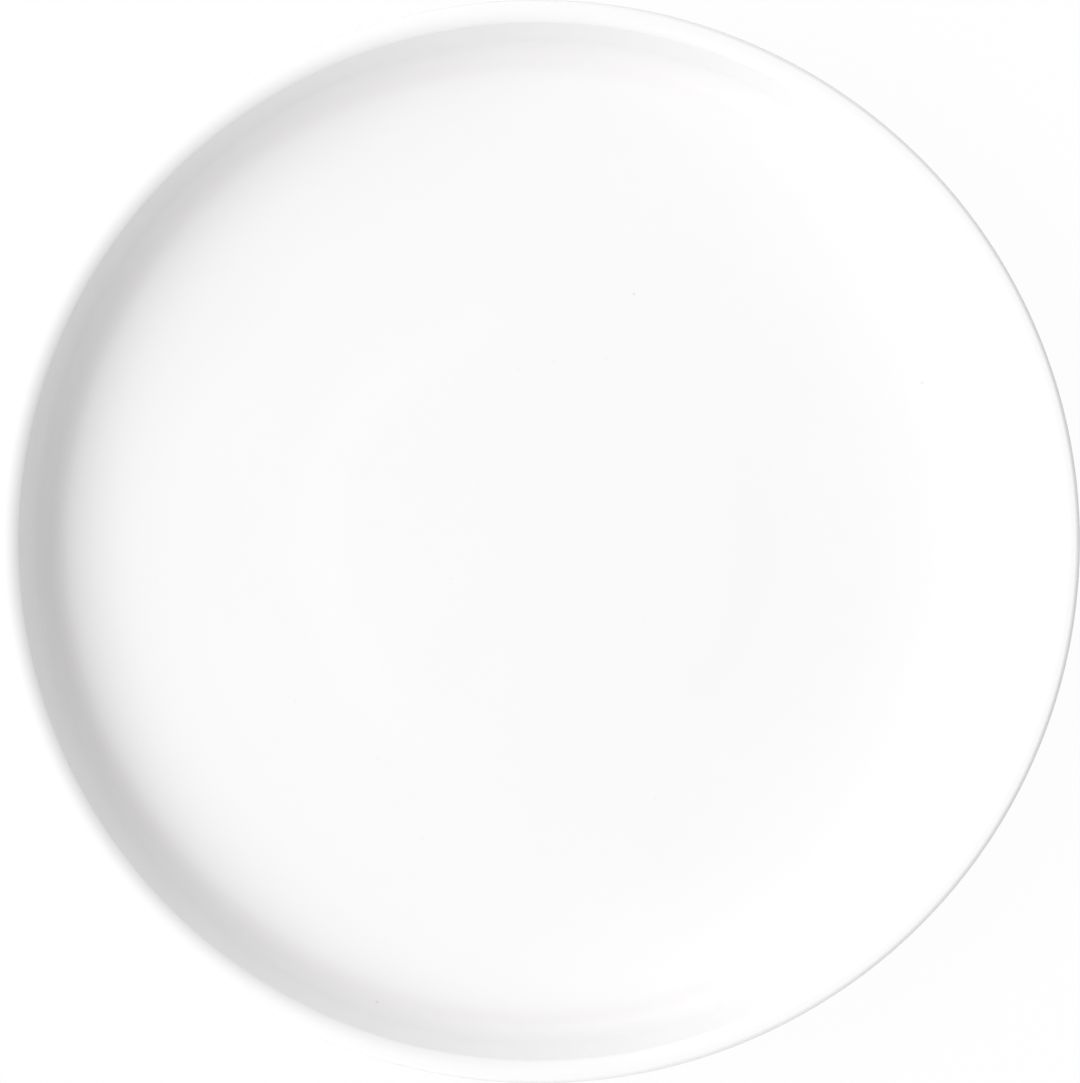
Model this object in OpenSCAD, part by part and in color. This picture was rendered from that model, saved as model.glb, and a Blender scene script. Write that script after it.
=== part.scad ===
// Coupe dinner plate, turned about the Z axis and standing on its foot ring at height zero.
// A fired clay body carries two coats of white glaze: one over the face, the lip and the back down
// to the foot ring, and one in the recess inside the ring. The sole of the ring is left bare.

/* [Plate] */
// Diameter across the glazed lip
plate_d = 270; // [250:1:310]
// Height from the table to the top of the glazed lip
plate_h = 26; // [22:0.5:32]
// Lean of the wall away from upright, in degrees
wall_lean = 18; // [10:1:28]
// Glazed radius inside the plate, where the floor turns up into the wall
corner_r = 8.5; // [4:0.1:10]
// Glazed radius outside the plate, round its heel
heel_r = 11; // [6:0.5:14]

/* [Lip] */
// Glazed radius from the lip's crest over to the outside of the wall
lip_out_r = 1.3; // [0.9:0.1:3]
// Width of the lip's level crest
crest_w = 0.8; // [0.1:0.1:2]
// Glazed radius from the crest down to the lip's inner slope
lip_in_r = 5.5; // [3:0.1:7]
// Slope of the lip's inner side, below that radius, in degrees
lip_slope = 35; // [20:1:45]
// Length of the straight part of that slope
lip_slope_w = 0.1; // [0.1:0.1:1]
// Glazed radius of the lip's inner edge, from the slope into the inside of the wall
lip_edge_r = 1.2; // [0.6:0.1:2.6]

/* [Floor] */
// Thickness of the clay floor
floor_t = 4.2; // [3:0.1:6]
// Height of the crown that keeps the middle of the floor from sagging
crown_h = 0.3; // [0.1:0.05:0.6]
// Width of the slope round the crown
crown_slope_w = 12; // [9:0.5:16]
// Level gap between that slope and the root of the foot ring
crown_gap = 12; // [7:0.5:18]
// Radius that blends the slope round the crown into the floor
crown_blend_r = 240; // [80:10:300]
// Slope of the floor where it reaches the wall, in degrees
floor_rise = 3.5; // [1:0.1:5]

/* [Foot ring] */
// Diameter across the sole of the foot ring
foot_d = 156; // [120:1:180]
// Width of the bare sole
foot_w = 3.4; // [2.4:0.1:5]
// Height of the clay underside above the table, just outside the ring
foot_h = 2.7; // [2.2:0.1:4]
// Lean of the ring's two sides, in degrees
foot_lean = 12; // [4:1:20]
// Radius on the two edges of the sole
foot_edge_r = 0.6; // [0.3:0.05:0.7]
// Glazed radius where the ring's sides meet the underside
foot_root_r = 1; // [0.5:0.1:1.2]
// Slope of the underside, from the ring out to the heel, in degrees
underside_rise = 1.5; // [0.5:0.1:3]

/* [Glaze] */
// Thickness of the glaze
glaze_t = 0.3; // [0.2:0.05:0.4]
// Height above the table at which the glaze is wiped off the ring's sides
glaze_line = 0.8; // [0.7:0.05:0.9]

/* [Hidden] */

// Facets in one full turn of the plate
turn_fn = 180;
// Widest angle that one chord of an arc spans, and the fewest chords in an arc
chord_angle = 6;
chords_min = 4;

// The crossing of the line from p along u with the line from q along v
function meet(p, u, q, v) = p + u * cross(q - p, v) / cross(u, v);

// Unit vector at an angle to the R axis, and the one from p to q
function toward(angle) = [cos(angle), sin(angle)];
function between(p, q) = (q - p) / norm(q - p);

// A quarter turn to the left, the side on which a path below has the open air
function left_of(u) = [-u.y, u.x];

// A path is a list of corners [R, Z, radius], and these are a corner's place, the directions
// along the path before and after it, and its signed turn
function place(path, i) = [path[i].x, path[i].y];
function leg(path, i) = between(place(path, i), place(path, i + 1));
function before(path, i) = leg(path, max(i - 1, 0));
function after(path, i) = leg(path, min(i, len(path) - 2));
function turn(path, i) =
    let (u = before(path, i), v = after(path, i))
    atan2(cross(u, v), u * v);

// The chords of the arc that rounds one corner
function corner_arc(path, i) =
    let (
        bend = turn(path, i),
        radius = path[i].z,
        into = before(path, i),
        start = place(path, i) - into * radius * tan(abs(bend) / 2),
        spoke = -left_of(into) * radius * sign(bend),
        chords = max(chords_min, ceil(abs(bend) / chord_angle))
    )
    [for (k = [0:chords])
        let (a = bend * k / chords)
        start - spoke + spoke * cos(a) + left_of(spoke) * sin(a)];

// The points of a path, with its corners rounded
function rounded(path) =
    [for (i = [0:len(path) - 1])
        each path[i].z > 0 ? corner_arc(path, i) : [place(path, i)]];

// A path moved out into the air by the thickness t, square to each of its legs
function coated(path, t) =
    [for (i = [0:len(path) - 1])
        let (
            n = left_of(before(path, i)),
            m = left_of(after(path, i)),
            p = place(path, i) + t * (n + m) / (1 + n * m),
            radius = path[i].z > 0 ? path[i].z - t * sign(turn(path, i)) : 0
        )
        [p.x, p.y, radius]];

function reversed(points) = [for (i = [len(points) - 1:-1:0]) points[i]];

// Heights of the clay
floor_z = foot_h + floor_t;
lip_z = plate_h - glaze_t;

// The lip's crest falls away to an inner edge and to the plate's outer edge, and the wall's two
// sides run down from there, so that the lip sets the wall's thickness
clay_in_r = lip_in_r - glaze_t;
clay_edge_r = lip_edge_r - glaze_t;
clay_out_r = lip_out_r - glaze_t;
crest_r = plate_d / 2 - lip_out_r;
crest_run = clay_in_r * tan(lip_slope / 2);
edge_run = clay_edge_r * tan((90 - wall_lean - lip_slope) / 2);
down_wall = -toward(90 - wall_lean);
lip_inside = [crest_r - crest_w - crest_run, lip_z];
lip_edge = lip_inside - toward(lip_slope) * (crest_run + lip_slope_w + edge_run);
lip_outside = [crest_r + clay_out_r * tan((90 + wall_lean) / 2), lip_z];

// The floor starts to rise over the foot ring, and is an arc from there to the corner
foot_r = foot_d / 2;
rise_start_r = foot_r - foot_w / 2;
wall_foot_r = meet(lip_edge, down_wall, [0, floor_z], [1, 0]).x;
rise_mid_r = (rise_start_r + wall_foot_r) / 2;
rise_arc_r = (rise_mid_r - rise_start_r - corner_r - glaze_t) / tan(floor_rise / 2);
corner = meet([rise_mid_r, floor_z], toward(floor_rise), lip_edge, down_wall);

// The underside runs from the foot ring to the heel
foot_top = [foot_r, foot_h];
heel = meet(foot_top, toward(underside_rise), lip_outside, down_wall);

// The foot ring tapers to its sole
foot_root_out = meet([foot_r, 0], toward(90 - foot_lean), foot_top, toward(underside_rise));
foot_root_in_r = foot_r - foot_w - foot_h * tan(foot_lean);
line_step = glaze_line * tan(foot_lean);

// The crown lies inside the foot ring, and the recess under it follows it
slope_r = foot_root_in_r - crown_gap;
crown_r = slope_r - crown_slope_w;

// The clay's surface, from the middle of the face over the lip and back to the middle of the base
coat_path = [
    [0, floor_z + crown_h, 0],
    [crown_r, floor_z + crown_h, crown_blend_r],
    [slope_r, floor_z, crown_blend_r],
    [rise_mid_r, floor_z, rise_arc_r],
    [corner.x, corner.y, corner_r + glaze_t],
    [lip_edge.x, lip_edge.y, clay_edge_r],
    [lip_inside.x, lip_inside.y, clay_in_r],
    [lip_outside.x, lip_outside.y, clay_out_r],
    [heel.x, heel.y, heel_r - glaze_t],
    [foot_root_out.x, foot_root_out.y, foot_root_r + glaze_t],
    [foot_r + line_step, glaze_line, 0]
];
sole_path = [
    [foot_r, 0, foot_edge_r],
    [foot_r - foot_w, 0, foot_edge_r]
];
base_path = [
    [foot_r - foot_w - line_step, glaze_line, 0],
    [foot_root_in_r, foot_h, foot_root_r + glaze_t],
    [slope_r, foot_h, crown_blend_r],
    [crown_r, foot_h + crown_h, crown_blend_r],
    [0, foot_h + crown_h, 0]
];

// A ring of glaze as thick as glaze_t, which lies on the clay along a path
module glaze(path) {
    rotate_extrude($fn = turn_fn)
        polygon(concat(rounded(coated(path, glaze_t)), reversed(rounded(path))));
}

// The fired body: floor, wall, lip, heel and foot ring in one piece of clay
module clay_body() {
    color("#EDEAE3")
        rotate_extrude($fn = turn_fn)
            polygon(rounded(concat(coat_path, sole_path, base_path)));
}

// The glaze over the face, the lip and the back, down to the glaze line outside the foot ring
module glaze_coat() {
    color("#F7F7F6")
        glaze(coat_path);
}

// The glaze in the recess, from the glaze line inside the foot ring
module base_glaze() {
    color("#F4F4F2")
        glaze(base_path);
}

clay_body();
glaze_coat();
base_glaze();
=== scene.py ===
"""A white glazed coupe dinner plate on a pale floor, seen from straight above.

The plate is turned about Z from one outline of its clay. The glaze is that outline moved out by
the glaze's thickness, and stops on the foot ring, whose sole is bare clay. Lengths are in metres.
"""

import math

import bmesh
import bpy
from bpy.props import FloatProperty, FloatVectorProperty, IntProperty, PointerProperty
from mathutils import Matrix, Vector


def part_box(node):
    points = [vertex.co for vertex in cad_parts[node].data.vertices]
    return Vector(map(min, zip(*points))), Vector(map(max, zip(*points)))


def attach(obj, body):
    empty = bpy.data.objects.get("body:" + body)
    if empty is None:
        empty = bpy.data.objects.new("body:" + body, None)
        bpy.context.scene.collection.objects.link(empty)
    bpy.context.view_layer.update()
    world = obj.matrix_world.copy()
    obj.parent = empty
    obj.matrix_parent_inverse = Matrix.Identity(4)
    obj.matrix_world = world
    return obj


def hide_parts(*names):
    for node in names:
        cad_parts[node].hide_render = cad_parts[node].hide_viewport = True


bl_info = {
    "name": "Coupe dinner plate",
    "version": (1, 0, 0),
    "blender": (4, 5, 0),
    "location": "3D View > Sidebar > Plate",
    "description": "A white glazed coupe dinner plate with its floor, lamps and camera",
    "category": "Add Mesh",
}

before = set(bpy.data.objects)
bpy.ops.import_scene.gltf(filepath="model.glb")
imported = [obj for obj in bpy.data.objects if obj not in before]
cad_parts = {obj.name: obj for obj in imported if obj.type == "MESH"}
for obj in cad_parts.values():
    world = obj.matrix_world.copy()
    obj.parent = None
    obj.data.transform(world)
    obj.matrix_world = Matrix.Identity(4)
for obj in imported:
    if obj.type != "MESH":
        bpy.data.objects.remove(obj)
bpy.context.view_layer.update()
plate_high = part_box("glaze_coat")[1]

MM = 0.001
WHITE = (1, 1, 1, 1)
BODY = "root"

# The photograph's frame, and the circle that the plate's edge makes in it, in its pixels
PHOTO_W, PHOTO_H = 1080, 1083
EDGE_X, EDGE_Y, EDGE_R = 538.2, 541.5, 541.8

# Places of the small dark specks in the glaze, in the photograph's pixels, with how dark each is
SPECKS = (
    (634, 294, 1.0),
    (377, 1002, 1.0),
    (554, 362, 0.4),
    (519, 369, 0.3),
    (606, 358, 0.35),
    (922, 383, 0.8),
    (451, 579, 0.3),
    (295, 701, 0.4),
    (378, 758, 0.3),
    (655, 798, 0.4),
    (422, 838, 0.35),
    (242, 509, 0.3),
)

# The waves of the hand-wiped glaze line: how many go round, their phase in radians, and how high
# each is beside the first
LINE_WAVES = ((3, 1, 1.0), (7, 2, 0.6), (13, 0, 0.4))

# Points of a mesh that lie closer than this are one
TOUCH = 0.001 * MM

# The inside corner's place in the coat's path
INSIDE_CORNER = 4

# The part of its range that a noise texture mostly fills
NOISE_LOW, NOISE_HIGH = 0.3, 0.7

# The colour sockets of a Mix node, by number, because its other kinds of socket share their names
MIX_FROM, MIX_TO, MIX_OUT = 6, 7, 2

# The softboxes round the plate: name, turn about Z from +X, rise above the table, and half the
# width and half the height that they fill as seen from the plate, in degrees, and power in watts
SOFTBOXES = (
    ("left_softbox", 187, 50, 38, 18, 122),
    ("back_softbox", 128, 30, 44, 20, 52),
    ("front_softbox", 245, 29, 36, 24, 21),
)


def length(name, about, default):
    """A length in metres that the panel shows in the scene's own units."""
    return FloatProperty(
        name=name,
        description=about,
        default=default,
        min=0,
        precision=5,
        subtype="DISTANCE",
        unit="LENGTH",
    )


def angle(name, about, degrees):
    """An angle that the panel shows in degrees."""
    radians = math.radians(degrees)
    return FloatProperty(name=name, description=about, default=radians, subtype="ANGLE")


def share(name, about, default):
    """A share, strength or roughness from 0 to 1."""
    return FloatProperty(
        name=name, description=about, default=default, min=0, max=1, subtype="FACTOR"
    )


def linear(hex_colour):
    """A linear RGBA colour from an sRGB hex value."""
    parts = [int(hex_colour[i : i + 2], 16) / 255 for i in (1, 3, 5)]
    return (*[p / 12.92 if p <= 0.04045 else ((p + 0.055) / 1.055) ** 2.4 for p in parts], 1.0)


def colour(name, about, hex_colour):
    """A colour whose default is an sRGB hex value."""
    rgba = linear(hex_colour)
    return FloatVectorProperty(
        name=name, description=about, default=rgba, size=4, subtype="COLOR", min=0, max=1
    )


class PlateShape(bpy.types.PropertyGroup):
    """The plate's sizes. Its diameter and height come from the frame."""

    lip_out_r: length("Lip outside", "Glazed radius of the lip's outer side", 1.3 * MM)
    crest_w: length("Crest", "Width of the lip's level crest", 0.8 * MM)
    lip_in_r: length("Lip inside", "Glazed radius from the crest to the inner slope", 5.5 * MM)
    lip_slope: angle("Lip slope", "Slope of the lip's inner side", 35)
    lip_slope_w: length("Lip slope length", "Length of the straight part of that slope", 0.1 * MM)
    lip_edge_r: length("Lip edge", "Glazed radius of the lip's inner edge", 1.2 * MM)
    wall_lean: angle("Wall lean", "Lean of the wall away from upright", 18)
    corner_r: length("Corner", "Glazed radius inside, from the floor into the wall", 8.5 * MM)
    heel_r: length("Heel", "Glazed radius outside, round the heel", 11 * MM)
    floor_t: length("Floor", "Thickness of the clay floor", 4.2 * MM)
    crown_h: length("Crown", "Height of the crown in the middle of the floor", 0.3 * MM)
    crown_slope_w: length("Crown slope", "Width of the slope round the crown", 12 * MM)
    crown_gap: length("Crown gap", "Level gap from that slope to the foot ring's root", 12 * MM)
    crown_blend_r: length("Crown blend", "Radius that blends that slope into the floor", 240 * MM)
    floor_rise: angle("Floor rise", "Slope of the floor where it reaches the wall", 3.5)
    foot_r: length("Foot", "Outer radius of the foot ring at its sole", 78 * MM)
    foot_w: length("Sole", "Width of the bare sole", 3.4 * MM)
    foot_h: length("Foot height", "Height of the clay underside beside the foot ring", 2.7 * MM)
    foot_lean: angle("Foot lean", "Lean of the foot ring's sides", 12)
    foot_edge_r: length("Sole edge", "Radius on the sole's two edges", 0.6 * MM)
    foot_root_r: length("Foot root", "Glazed radius at the foot ring's root", 1 * MM)
    underside_rise: angle("Underside rise", "Slope of the underside out to the heel", 1.5)
    glaze_t: length("Glaze", "Thickness of the glaze", 0.3 * MM)
    glaze_line: length("Glaze line", "Height at which the glaze is wiped off the foot", 0.8 * MM)
    line_waver: length("Line waver", "How far the hand-wiped glaze line wavers", 0.12 * MM)
    turn_steps: IntProperty(
        name="Steps", description="Steps in one turn of the plate", default=320, min=48, max=640
    )


class PlateFinish(bpy.types.PropertyGroup):
    """The colours of the glaze and the clay, and the sizes of their patterns."""

    glaze: colour("Glaze", "White gloss glaze at its usual thickness", "#F8F8F8")
    # Painted light: the glaze a little whiter over the lip's crest
    glaze_lit_crest: colour("Thin glaze", "The glaze where it runs thin over the lip", "#FBFBFB")
    # The colour of thick glaze patches, and the painted shade in the inside corner
    deep_glaze_and_shade: colour("Deep glaze", "The glaze where it gathers in the corner", "#F6F4F4")
    glaze_end: colour("Glaze end", "The last of the glaze, warmed by the clay below", "#F3EDE2")
    speck: colour("Speck", "Iron speck melted into the glaze", "#8C8378")
    clay: colour("Clay", "Bare fired clay", "#E6DFD2")
    clay_dark: colour("Clay grain", "Darker grain in the fired clay", "#C9BCA6")
    glaze_ior: FloatProperty(
        name="Glaze IOR",
        description="How strongly the glaze bends light",
        default=1.52,
        min=1,
        max=3,
    )
    gloss_thin: share("Thin gloss", "Roughness of the glaze where its patches are thin", 0.27)
    gloss_deep: share("Deep gloss", "Roughness of the glaze where its patches are thick", 0.21)
    # Height of the band of painted light over the lip
    lit_crest_w: length("Thin band", "Height of the lip's band in which the glaze is thin", 1.2 * MM)
    end_w: length("End band", "Height of the warm band at the glaze's end", 1 * MM)
    # The reach and place of the painted shade in the inside corner, where the glaze gathers
    shaded_pool_w: length("Pool", "Reach of the gathered glaze, each way along the corner", 4.5 * MM)
    shaded_pool_turn: share("Pool place", "Share of the corner's turn that is below the pool", 0.27)
    mottle_w: length("Mottle", "Width of the patches in the glaze's thickness", 30 * MM)
    mottle_share: share("Mottle strength", "How far a patch turns to the deep colour", 0.3)
    peel_w: length("Ripple", "Width of the ripples in the fired glaze", 3.5 * MM)
    peel_h: length("Ripple height", "Height of those ripples", 0.005 * MM)
    ring_w: length("Ring", "Distance between the rings left by turning", 5 * MM)
    ring_h: length("Ring height", "Height of those rings", 0.004 * MM)
    ring_break: share("Ring break", "How far the rings break up on their way round", 0.1)
    speck_r: length("Speck radius", "Radius of an iron speck, soft edge and all", 0.6 * MM)
    speck_share: share("Speck strength", "How far the darkest speck turns to its colour", 0.2)
    clay_rough: share("Clay roughness", "Roughness of the bare clay", 0.85)
    grain_w: length("Grain", "Width of the clay's sandy grain", 0.5 * MM)
    grain_h: length("Grain height", "Height of that grain", 0.03 * MM)
    grain_low: share("Grain start", "Level of the grain's noise where the clay darkens", 0.35)
    grain_high: share("Grain end", "Level of the grain's noise where it is darkest", 0.8)
    grog_w: length("Grog", "Distance between the darker grains", 1.6 * MM)
    grog_in: share("Grog core", "Share of that distance where a darker grain is full", 0.1)
    grog_out: share("Grog edge", "Share of that distance where a darker grain ends", 0.2)
    grog_share: share("Grog strength", "How far a darker grain turns to its colour", 0.8)
    sponge_w: length("Sponge line", "Distance between the lines that the sponge leaves", 0.7 * MM)
    sponge_h: length("Sponge depth", "Depth of those lines", 0.02 * MM)


class StudioLight(bpy.types.PropertyGroup):
    """The camera, lamps and floor."""

    camera_h: length("Camera", "Height of the camera above the lip", 1.5)
    lamp_far: length("Lamps", "Distance of the softboxes from the plate", 4)
    fill: share("Fill", "Strength of the white room light", 0.46)
    floor: colour("Floor", "The pale floor", "#F2F2F2")
    floor_half: length("Floor half width", "Half the width of the floor", 3)
    floor_gap: length("Floor gap", "Hair's breadth between the floor and the sole", 0.05 * MM)
    floor_rough: share("Floor roughness", "Roughness of the floor", 0.9)
    floor_shine: share("Floor shine", "Strength of the floor's reflections", 0.1)
    shadow_share: share("Floor shadow", "Share of the shadow seen past the plate's edge", 0.04)
    shadow_fade: length("Shadow fade", "Width of the fade to white, in from that edge", 40 * MM)


def across(a, b):
    """The cross product of two vectors in the plane of the section."""
    return a.x * b.y - a.y * b.x


def meet(p, u, q, v):
    """The crossing of the line from p along u with the line from q along v."""
    return p + u * (across(q - p, v) / across(u, v))


def toward(turn):
    """A unit vector at an angle to the section's R axis."""
    return Vector((math.cos(turn), math.sin(turn)))


def left_of(u):
    """A quarter turn to the left, the side on which a path has the open air."""
    return Vector((-u.y, u.x))


def legs(path, i):
    """The directions along a path before and after its corner i."""
    last = len(path) - 1
    here = [(path[j + 1][0] - path[j][0]).normalized() for j in (max(i - 1, 0), min(i, last - 1))]
    return here[0], here[1]


def bend_at(path, i):
    """The signed turn of a path at its corner i."""
    u, v = legs(path, i)
    return math.atan2(across(u, v), u.dot(v))


def coated(path, t):
    """A path moved out into the air by the thickness t, square to each of its legs."""
    moved = []
    for i, (place, radius) in enumerate(path):
        n, m = (left_of(u) for u in legs(path, i))
        radius = radius - math.copysign(t, bend_at(path, i)) if radius else 0
        moved.append((place + (n + m) * (t / (1 + n.dot(m))), radius))
    return moved


def clay_paths(s):
    """The clay's outline from the middle of the face to the middle of the base, in three paths."""
    plate_r, top = plate_high.x, plate_high.z - s.glaze_t
    floor_z, crest_r = s.foot_h + s.floor_t, plate_r - s.lip_out_r
    in_r, edge_r, out_r = (r - s.glaze_t for r in (s.lip_in_r, s.lip_edge_r, s.lip_out_r))
    quarter = math.pi / 2
    down_wall = -toward(quarter - s.wall_lean)
    crest_run = in_r * math.tan(s.lip_slope / 2)
    edge_run = edge_r * math.tan((quarter - s.wall_lean - s.lip_slope) / 2)
    lip_inside = Vector((crest_r - s.crest_w - crest_run, top))
    lip_edge = lip_inside - toward(s.lip_slope) * (crest_run + s.lip_slope_w + edge_run)
    lip_outside = Vector((crest_r + out_r * math.tan((quarter + s.wall_lean) / 2), top))

    rise_start_r = s.foot_r - s.foot_w / 2
    wall_foot_r = meet(lip_edge, down_wall, Vector((0, floor_z)), Vector((1, 0))).x
    rise_mid = Vector(((rise_start_r + wall_foot_r) / 2, floor_z))
    rise_arc_r = (rise_mid.x - rise_start_r - s.corner_r - s.glaze_t) / math.tan(s.floor_rise / 2)
    corner = meet(rise_mid, toward(s.floor_rise), lip_edge, down_wall)

    foot_top, underside = Vector((s.foot_r, s.foot_h)), toward(s.underside_rise)
    heel = meet(foot_top, underside, lip_outside, down_wall)
    root_out = meet(Vector((s.foot_r, 0)), toward(quarter - s.foot_lean), foot_top, underside)
    root_in = Vector((s.foot_r - s.foot_w - s.foot_h * math.tan(s.foot_lean), s.foot_h))
    line_step = s.glaze_line * math.tan(s.foot_lean)
    slope_r = root_in.x - s.crown_gap
    crown_r = slope_r - s.crown_slope_w
    floor_top, base_top = floor_z + s.crown_h, s.foot_h + s.crown_h

    coat = [
        (Vector((0, floor_top)), 0),
        (Vector((crown_r, floor_top)), s.crown_blend_r),
        (Vector((slope_r, floor_z)), s.crown_blend_r),
        (rise_mid, rise_arc_r),
        (corner, s.corner_r + s.glaze_t),
        (lip_edge, edge_r),
        (lip_inside, in_r),
        (lip_outside, out_r),
        (heel, s.heel_r - s.glaze_t),
        (root_out, s.foot_root_r + s.glaze_t),
        (Vector((s.foot_r + line_step, s.glaze_line)), 0),
    ]
    sole = [
        (Vector((s.foot_r, 0)), s.foot_edge_r),
        (Vector((s.foot_r - s.foot_w, 0)), s.foot_edge_r),
    ]
    base = [
        (Vector((s.foot_r - s.foot_w - line_step, s.glaze_line)), 0),
        (root_in, s.foot_root_r + s.glaze_t),
        (Vector((slope_r, s.foot_h)), s.crown_blend_r),
        (Vector((crown_r, base_top)), s.crown_blend_r),
        (Vector((0, base_top)), 0),
    ]
    return coat, sole, base


def shaded_pool_place(s, shaded_pool_turn):
    """The middle of the painted shade and gathered glaze in the section.

    It lies part of the way round the inside corner.
    """
    corner = coated(clay_paths(s)[0], s.glaze_t)[INSIDE_CORNER][0]
    bend = math.pi / 2 - s.wall_lean - s.floor_rise
    into = toward(s.floor_rise)
    hub = corner - into * (s.corner_r * math.tan(bend / 2)) + left_of(into) * s.corner_r
    return hub - left_of(toward(s.floor_rise + bend * shaded_pool_turn)) * s.corner_r


def draw_section(bm, path):
    """Draws a path in the plane Y = 0: straight legs are extruded, and round corners are spun."""
    chord, least, longest = math.radians(4), 6, 12 * MM

    def line_to(vert, place):
        """Extrudes the line's end to a place, in steps no longer than the longest."""
        goal = Vector((place.x, 0, place.y))
        span = (goal - vert.co).length
        steps = max(1, math.ceil(span / longest))
        step = (goal - vert.co) / steps
        for _ in range(steps if span > TOUCH else 0):
            out = bmesh.ops.extrude_vert_indiv(bm, verts=[vert])
            vert = out["verts"][0]
            bmesh.ops.translate(bm, verts=[vert], vec=step)
        return vert

    vert = bm.verts.new((path[0][0].x, 0, path[0][0].y))
    for i, (place, radius) in enumerate(path[1:], 1):
        if not radius:
            vert = line_to(vert, place)
            continue
        bend, into = bend_at(path, i), legs(path, i)[0]
        vert = line_to(vert, place - into * (radius * math.tan(abs(bend) / 2)))
        hub = Vector((vert.co.x, vert.co.z)) + left_of(into) * math.copysign(radius, bend)
        out = bmesh.ops.spin(
            bm,
            geom=[vert],
            cent=(hub.x, 0, hub.y),
            axis=(0, -1, 0),
            angle=bend,
            steps=max(least, math.ceil(abs(bend) / chord)),
            use_duplicate=False,
        )
        vert = next(g for g in out["geom_last"] if isinstance(g, bmesh.types.BMVert))


def turned(name, path, steps):
    """A closed solid, turned about Z from a path that starts and ends on the axis."""
    bm = bmesh.new()
    draw_section(bm, path)
    wedges = 8
    wedge = {"cent": (0, 0, 0), "axis": (0, 0, 1)}
    bmesh.ops.spin(
        bm, geom=bm.verts[:] + bm.edges[:], angle=math.tau / wedges, steps=steps // wedges, **wedge
    )
    bmesh.ops.spin(
        bm,
        geom=bm.verts[:] + bm.edges[:] + bm.faces[:],
        angle=math.tau * (wedges - 1) / wedges,
        steps=wedges - 1,
        use_duplicate=True,
        **wedge,
    )
    bmesh.ops.remove_doubles(bm, verts=bm.verts, dist=TOUCH)
    bmesh.ops.recalc_face_normals(bm, faces=bm.faces)
    for face in bm.faces:
        face.smooth = True
    mesh = bpy.data.meshes.new(name)
    bm.to_mesh(mesh)
    bm.free()
    piece = bpy.data.objects.new(name, mesh)
    bpy.context.scene.collection.objects.link(piece)
    return piece


def glaze_skin(path, s):
    """The closed section of a glaze that lies on a path of the clay, with a rounded end."""
    end_share = 0.6
    out = coated(path, s.glaze_t)
    tip = 0 if path[0][0].x > path[-1][0].x else -1
    out[tip] = (out[tip][0], s.glaze_t * end_share)
    under = list(reversed(path))
    return under + out if tip == 0 else out + under


def waver_line(piece, s):
    """Moves the glaze's wiped edge up and down the foot ring's side, as a sponge leaves it.

    The edge is all of the glaze that lies within its own thickness and a half of the line.
    """
    edge_share = 1.5
    reach = s.glaze_line + edge_share * s.glaze_t
    highest = sum(part for _, _, part in LINE_WAVES)
    for vert in piece.data.vertices:
        co = vert.co
        if co.z > reach:
            continue
        turn = math.atan2(co.y, co.x)
        wave = sum(part * math.sin(count * turn + phase) for count, phase, part in LINE_WAVES)
        shift = s.line_waver * wave / highest
        radius = math.hypot(co.x, co.y)
        side = math.copysign(math.tan(s.foot_lean), radius - s.foot_r + s.foot_w / 2)
        grow = 1 + shift * side / radius
        vert.co = Vector((co.x * grow, co.y * grow, co.z + shift))


def camera_place(shape, studio):
    """The camera's place, and the width of the photograph's pixel at the plate's edge."""
    pixel = plate_high.x / EDGE_R
    edge_z = plate_high.z - shape.lip_out_r
    off_x, off_y = (PHOTO_W / 2 - EDGE_X) * pixel, (EDGE_Y - PHOTO_H / 2) * pixel
    return Vector((off_x, off_y, edge_z + studio.camera_h)), pixel


def speck_places(face, shape, studio):
    """The specks' places on the face, where the camera sees them, with how dark each is."""
    eye, pixel = camera_place(shape, studio)
    bpy.context.view_layer.update()
    found = []
    for x, y, dark in SPECKS:
        aim = Vector(((x - EDGE_X) * pixel, (EDGE_Y - y) * pixel, eye.z - studio.camera_h))
        hit, spot, _, _ = face.ray_cast(eye, (aim - eye).normalized())
        if not hit:
            raise RuntimeError(f"the speck at {x}, {y} misses the plate")
        found.append((spot, dark))
    return found


def add_node(tree, kind, links=None, **settings):
    """Adds a node, sets its inputs and attributes by name, and links outputs to its inputs."""
    node = tree.nodes.new(kind)
    for name, value in settings.items():
        setattr(node, name, value)
    for name, value in (links or {}).items():
        if isinstance(value, bpy.types.NodeSocket):
            tree.links.new(value, node.inputs[name])
        else:
            node.inputs[name].default_value = value
    return node


def new_material(name):
    """An empty node material, with its tree and its Principled shader."""
    material = bpy.data.materials.new(name)
    material.use_nodes = True
    return material, material.node_tree, material.node_tree.nodes["Principled BSDF"]


def turned_place(tree):
    """A piece's place as a vector of radius, angle and height, and the place itself."""
    place = add_node(tree, "ShaderNodeTexCoord").outputs["Object"]
    axes = add_node(tree, "ShaderNodeSeparateXYZ", {0: place}).outputs
    flat = add_node(tree, "ShaderNodeVectorMath", {0: place, 1: (1, 1, 0)}, operation="MULTIPLY")
    radius = add_node(tree, "ShaderNodeVectorMath", {0: flat.outputs[0]}, operation="LENGTH")
    turn = add_node(tree, "ShaderNodeMath", {0: axes["Y"], 1: axes["X"]}, operation="ARCTAN2")
    links = {"X": radius.outputs["Value"], "Y": turn.outputs[0], "Z": axes["Z"]}
    return add_node(tree, "ShaderNodeCombineXYZ", links).outputs[0], place


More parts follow.
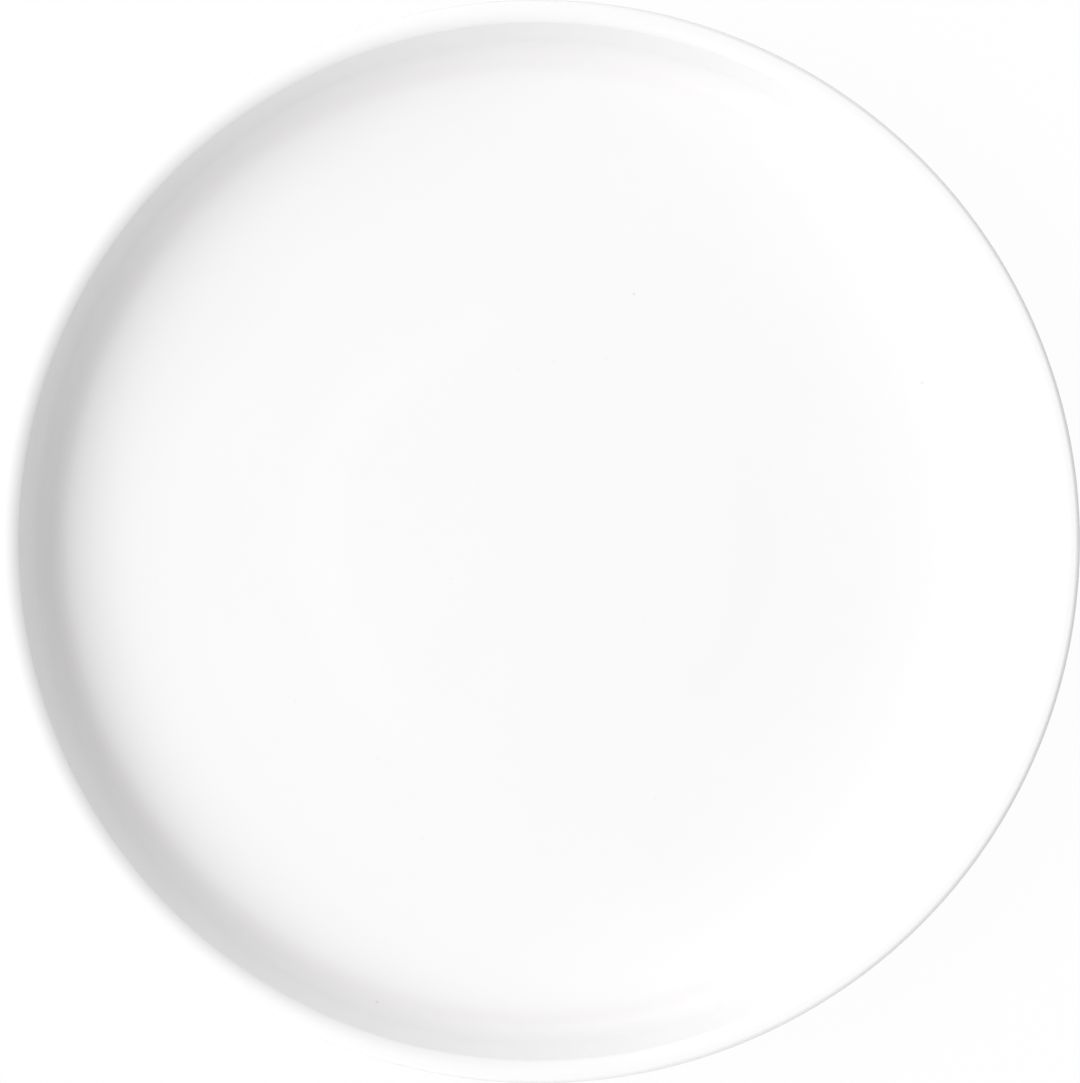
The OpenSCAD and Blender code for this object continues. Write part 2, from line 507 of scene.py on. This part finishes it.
def white_gloss_glaze(shape, finish, specks):
    """White gloss stoneware glaze, sprayed on and melted in the kiln to a glassy coat.

    It shows soft wide lights that break up a little over its ripple. It carries painted light
    over the lip, a little whiter there, and painted shade in the corner, greyer and faintly warm
    where the glaze gathers. It is warmer still at its wiped end, where the clay shows through. A
    few small iron specks have melted into it.
    """
    material, tree, shader = new_material("white_gloss_glaze")
    shader.inputs["IOR"].default_value = finish.glaze_ior
    turned_at, place = turned_place(tree)
    height = add_node(tree, "ShaderNodeSeparateXYZ", {0: place}).outputs["Z"]

    # The glaze's tint: painted light over the lip, warm where it is wiped off, painted shade where
    # it gathers in the corner, and patchy with its thickness
    soft = {"interpolation_type": "SMOOTHSTEP"}
    # Painted light: a whiter band over the lip's crest
    links = {"Value": height, "From Min": plate_high.z - finish.lit_crest_w, "From Max": plate_high.z}
    lit_crest = add_node(tree, "ShaderNodeMapRange", links, **soft).outputs[0]
    line_z = shape.glaze_line
    links = {"Value": height, "From Min": line_z + finish.end_w, "From Max": line_z}
    end = add_node(tree, "ShaderNodeMapRange", links, **soft).outputs[0]
    links = {0: turned_at, 1: (1, 0, 1)}
    in_section = add_node(tree, "ShaderNodeVectorMath", links, operation="MULTIPLY").outputs[0]
    # Painted shade: a greyer, faintly warm tint in the inside corner, where the glaze gathers
    shaded_pool = shaded_pool_place(shape, finish.shaded_pool_turn)
    links = {0: in_section, 1: (shaded_pool.x, 0, shaded_pool.y)}
    off_shaded_pool = add_node(tree, "ShaderNodeVectorMath", links, operation="DISTANCE")
    links = {"Value": off_shaded_pool.outputs["Value"], "From Min": finish.shaded_pool_w, "From Max": 0}
    pooled_and_shaded = add_node(tree, "ShaderNodeMapRange", links, **soft).outputs[0]
    links = {"Vector": place, "Scale": 1 / finish.mottle_w}
    mottle = add_node(tree, "ShaderNodeTexNoise", links).outputs[0]
    links = {"Value": mottle, "To Max": finish.mottle_share}
    patchy = add_node(tree, "ShaderNodeMapRange", links).outputs[0]
    colour_now = finish.glaze
    for amount, tint in (
        (patchy, finish.deep_glaze_and_shade),
        (pooled_and_shaded, finish.deep_glaze_and_shade),
        (lit_crest, finish.glaze_lit_crest),
        (end, finish.glaze_end),
    ):
        links = {"Factor": amount, MIX_FROM: colour_now, MIX_TO: tint}
        colour_now = add_node(tree, "ShaderNodeMix", links, data_type="RGBA").outputs[MIX_OUT]

    # The specks: soft round spots, each as dark as it is in the photograph
    for spot, dark in specks:
        links = {0: place, 1: spot}
        off_spot = add_node(tree, "ShaderNodeVectorMath", links, operation="DISTANCE")
        links = {
            "Value": off_spot.outputs["Value"],
            "From Min": finish.speck_r,
            "From Max": 0,
            "To Max": finish.speck_share * dark,
        }
        spotted = add_node(tree, "ShaderNodeMapRange", links, **soft).outputs[0]
        links = {"Factor": spotted, MIX_FROM: colour_now, MIX_TO: finish.speck}
        colour_now = add_node(tree, "ShaderNodeMix", links, data_type="RGBA").outputs[MIX_OUT]
    tree.links.new(colour_now, shader.inputs["Base Color"])

    # The gloss is a little softer where the patches are thin
    links = {
        "Value": mottle,
        "From Min": NOISE_LOW,
        "From Max": NOISE_HIGH,
        "To Min": finish.gloss_thin,
        "To Max": finish.gloss_deep,
    }
    gloss = add_node(tree, "ShaderNodeMapRange", links).outputs[0]
    tree.links.new(gloss, shader.inputs["Roughness"])

    # The ripple of the melted glaze, and the faint rings left in the clay below by turning
    links = {"Vector": place, "Scale": 1 / finish.peel_w}
    ripple = add_node(tree, "ShaderNodeTexNoise", links).outputs[0]
    links = {0: turned_at, 1: (1, finish.ring_break * finish.ring_w, 1)}
    around = add_node(tree, "ShaderNodeVectorMath", links, operation="MULTIPLY")
    links = {"Vector": around.outputs[0], "Scale": 1 / finish.ring_w}
    rings = add_node(tree, "ShaderNodeTexNoise", links).outputs[0]
    relief = add_node(tree, "ShaderNodeBump", {"Height": ripple, "Distance": finish.peel_h})
    links = {"Height": rings, "Distance": finish.ring_h, "Normal": relief.outputs[0]}
    relief = add_node(tree, "ShaderNodeBump", links)
    tree.links.new(relief.outputs[0], shader.inputs["Normal"])
    return material


def bare_stoneware_clay(finish):
    """Fired stoneware clay, sponged smooth on the foot and left bare.

    It is dry and matt, with a sandy grain, some darker grains, and faint lines round the ring
    where the sponge went.
    """
    material, tree, shader = new_material("bare_stoneware_clay")
    shader.inputs["Roughness"].default_value = finish.clay_rough
    turned_at, place = turned_place(tree)

    links = {"Vector": place, "Scale": 1 / finish.grain_w}
    grain = add_node(tree, "ShaderNodeTexNoise", links).outputs[0]
    links = {"Value": grain, "From Min": finish.grain_low, "From Max": finish.grain_high}
    sandy = add_node(tree, "ShaderNodeMapRange", links).outputs[0]
    links = {"Vector": place, "Scale": 1 / finish.grog_w}
    cells = add_node(tree, "ShaderNodeTexVoronoi", links).outputs
    links = {
        "Value": cells["Distance"],
        "From Min": finish.grog_out,
        "From Max": finish.grog_in,
        "To Max": finish.grog_share,
    }
    grog = add_node(tree, "ShaderNodeMapRange", links).outputs[0]
    dark = add_node(tree, "ShaderNodeMath", {0: sandy, 1: grog}, operation="MAXIMUM").outputs[0]
    links = {"Factor": dark, MIX_FROM: finish.clay, MIX_TO: finish.clay_dark}
    tint = add_node(tree, "ShaderNodeMix", links, data_type="RGBA").outputs[MIX_OUT]
    tree.links.new(tint, shader.inputs["Base Color"])

    links = {0: turned_at, 1: (1, finish.sponge_w, 1)}
    around = add_node(tree, "ShaderNodeVectorMath", links, operation="MULTIPLY")
    links = {"Vector": around.outputs[0], "Scale": 1 / finish.sponge_w}
    sponged = add_node(tree, "ShaderNodeTexNoise", links).outputs[0]
    relief = add_node(tree, "ShaderNodeBump", {"Height": grain, "Distance": finish.grain_h})
    links = {"Height": sponged, "Distance": finish.sponge_h, "Normal": relief.outputs[0]}
    relief = add_node(tree, "ShaderNodeBump", links)
    tree.links.new(relief.outputs[0], shader.inputs["Normal"])
    return material


def seen_directly(tree):
    """One where the camera, a reflection or clear glass sees a surface, and zero for its light."""
    path = add_node(tree, "ShaderNodeLightPath")
    seen = path.outputs["Is Camera Ray"]
    for ray in ("Is Glossy Ray", "Is Transmission Ray"):
        links = {0: seen, 1: path.outputs[ray]}
        seen = add_node(tree, "ShaderNodeMath", links, operation="MAXIMUM").outputs[0]
    return seen


def pale_floor(studio):
    """A pale matt sweep, which looks white, but keeps the plate's shadow close round the foot."""
    material, tree, shader = new_material("pale_floor")
    shader.inputs["Base Color"].default_value = studio.floor
    shader.inputs["Roughness"].default_value = studio.floor_rough
    shader.inputs["Specular IOR Level"].default_value = studio.floor_shine
    place = add_node(tree, "ShaderNodeTexCoord").outputs["Object"]
    radius = add_node(tree, "ShaderNodeVectorMath", {0: place}, operation="LENGTH")
    links = {
        "Value": radius.outputs["Value"],
        "From Min": plate_high.x - studio.shadow_fade,
        "From Max": plate_high.x,
        "To Max": 1 - studio.shadow_share,
    }
    whitened = add_node(tree, "ShaderNodeMapRange", links, interpolation_type="SMOOTHERSTEP")
    links = {0: seen_directly(tree), 1: whitened.outputs[0]}
    factor = add_node(tree, "ShaderNodeMath", links, operation="MULTIPLY")
    links = {"Color": WHITE, "Strength": 1}
    white = add_node(tree, "ShaderNodeEmission", links, name="white_seen")
    links = {0: factor.outputs[0], 1: shader.outputs[0], 2: white.outputs[0]}
    mix = add_node(tree, "ShaderNodeMixShader", links)
    tree.links.new(mix.outputs[0], tree.nodes["Material Output"].inputs["Surface"])
    return material


def finish_piece(piece, node, material):
    """Gives a piece its material and its place in the frame, in the stead of a node."""
    piece.data.materials.append(material)
    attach(piece, BODY)
    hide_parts(node)


class PLATE_OT_clay_body(bpy.types.Operator):
    """Turns the fired clay body"""

    bl_idname = "plate.clay_body"
    bl_label = "Clay body"
    bl_options = {"REGISTER", "UNDO"}

    def execute(self, context):
        shape, finish = context.scene.plate_shape, context.scene.plate_finish
        coat, sole, base = clay_paths(shape)
        piece = turned("fired_clay_body", coat + sole + base, shape.turn_steps)
        finish_piece(piece, "clay_body", bare_stoneware_clay(finish))
        return {"FINISHED"}


class PLATE_OT_glaze(bpy.types.Operator):
    """Lays the two coats of glaze on the clay body"""

    bl_idname = "plate.glaze"
    bl_label = "Glaze"
    bl_options = {"REGISTER", "UNDO"}

    def execute(self, context):
        scene = context.scene
        shape, finish = scene.plate_shape, scene.plate_finish
        coat, _, base = clay_paths(shape)
        face = turned("face_and_back_glaze", glaze_skin(coat, shape), shape.turn_steps)
        recess = turned("recess_glaze", glaze_skin(base, shape), shape.turn_steps)
        specks = speck_places(face, shape, scene.plate_studio)
        glaze = white_gloss_glaze(shape, finish, specks)
        for piece, node in ((face, "glaze_coat"), (recess, "base_glaze")):
            waver_line(piece, shape)
            finish_piece(piece, node, glaze)
        return {"FINISHED"}


class PLATE_OT_stage(bpy.types.Operator):
    """Adds the pale floor, the lamps and the camera above the plate"""

    bl_idname = "plate.stage"
    bl_label = "Stage"
    bl_options = {"REGISTER", "UNDO"}

    def execute(self, context):
        studio = context.scene.plate_studio
        self.floor(studio)
        self.lamps(studio)
        self.camera(context.scene, studio)
        return {"FINISHED"}

    def floor(self, studio):
        """A square pale floor, which is white to the camera and takes a faint shadow."""
        bm = bmesh.new()
        bmesh.ops.create_grid(bm, x_segments=1, y_segments=1, size=studio.floor_half)
        bmesh.ops.translate(bm, verts=bm.verts, vec=(0, 0, -studio.floor_gap))
        mesh = bpy.data.meshes.new("floor")
        bm.to_mesh(mesh)
        bm.free()
        floor = bpy.data.objects.new("floor", mesh)
        bpy.context.scene.collection.objects.link(floor)
        mesh.materials.append(pale_floor(studio))

    def lamps(self, studio):
        """The softboxes, which face the plate, and the white room."""
        for name, turn, rise, half_w, half_h, power in SOFTBOXES:
            light = bpy.data.lights.new(name, "AREA")
            light.shape = "RECTANGLE"
            light.size = 2 * studio.lamp_far * math.tan(math.radians(half_w))
            light.size_y = 2 * studio.lamp_far * math.tan(math.radians(half_h))
            light.energy = power
            lamp = bpy.data.objects.new(name, light)
            out, up = toward(math.radians(rise))
            x, y = toward(math.radians(turn))
            away = Vector((out * x, out * y, up))
            lamp.location = away * studio.lamp_far
            lamp.rotation_euler = away.to_track_quat("Z", "Y").to_euler()
            lamp.visible_camera = False
            bpy.context.scene.collection.objects.link(lamp)
        world = bpy.data.worlds.new("white_room")
        bpy.context.scene.world = world
        world.use_nodes = True
        tree = world.node_tree
        light = tree.nodes["Background"]
        light.inputs["Color"].default_value = WHITE
        light.inputs["Strength"].default_value = studio.fill
        links = {"Color": WHITE, "Strength": 1}
        white = add_node(tree, "ShaderNodeBackground", links, name="white_seen")
        links = {0: seen_directly(tree), 1: light.outputs[0], 2: white.outputs[0]}
        mix = add_node(tree, "ShaderNodeMixShader", links)
        tree.links.new(mix.outputs[0], tree.nodes["World Output"].inputs["Surface"])

    def camera(self, scene, studio):
        """A camera that looks straight down, with the plate's edge where the photograph has it."""
        place, pixel = camera_place(scene.plate_shape, studio)
        data = bpy.data.cameras.new("camera")
        data.sensor_fit = "VERTICAL"
        data.angle_y = 2 * math.atan(PHOTO_H / 2 * pixel / studio.camera_h)
        camera = bpy.data.objects.new("camera", data)
        camera.location = place
        scene.collection.objects.link(camera)
        scene.camera = camera
        scene.view_settings.view_transform = "Standard"


class PLATE_PT_panel(bpy.types.Panel):
    """Lists the plate's pieces and sizes"""

    bl_label = "Coupe dinner plate"
    bl_idname = "PLATE_PT_panel"
    bl_space_type = "VIEW_3D"
    bl_region_type = "UI"
    bl_category = "Plate"

    def draw(self, context):
        layout = self.layout
        for operator in (PLATE_OT_clay_body, PLATE_OT_glaze, PLATE_OT_stage):
            layout.operator(operator.bl_idname)
        for title, group in (
            ("Shape", context.scene.plate_shape),
            ("Finish", context.scene.plate_finish),
            ("Studio", context.scene.plate_studio),
        ):
            box = layout.box()
            box.label(text=title)
            for name in group.__annotations__:
                box.prop(group, name)


CLASSES = (
    PlateShape,
    PlateFinish,
    StudioLight,
    PLATE_OT_clay_body,
    PLATE_OT_glaze,
    PLATE_OT_stage,
    PLATE_PT_panel,
)


def register():
    """Makes the plate's classes and settings known to Blender."""
    for cls in CLASSES:
        bpy.utils.register_class(cls)
    bpy.types.Scene.plate_shape = PointerProperty(type=PlateShape)
    bpy.types.Scene.plate_finish = PointerProperty(type=PlateFinish)
    bpy.types.Scene.plate_studio = PointerProperty(type=StudioLight)


def unregister():
    """Takes them away again."""
    del bpy.types.Scene.plate_studio
    del bpy.types.Scene.plate_finish
    del bpy.types.Scene.plate_shape
    for cls in reversed(CLASSES):
        bpy.utils.unregister_class(cls)


def main():
    """Builds the plate and its stage."""
    register()
    bpy.ops.plate.clay_body()
    bpy.ops.plate.glaze()
    bpy.ops.plate.stage()


if __name__ == "__main__":
    main()
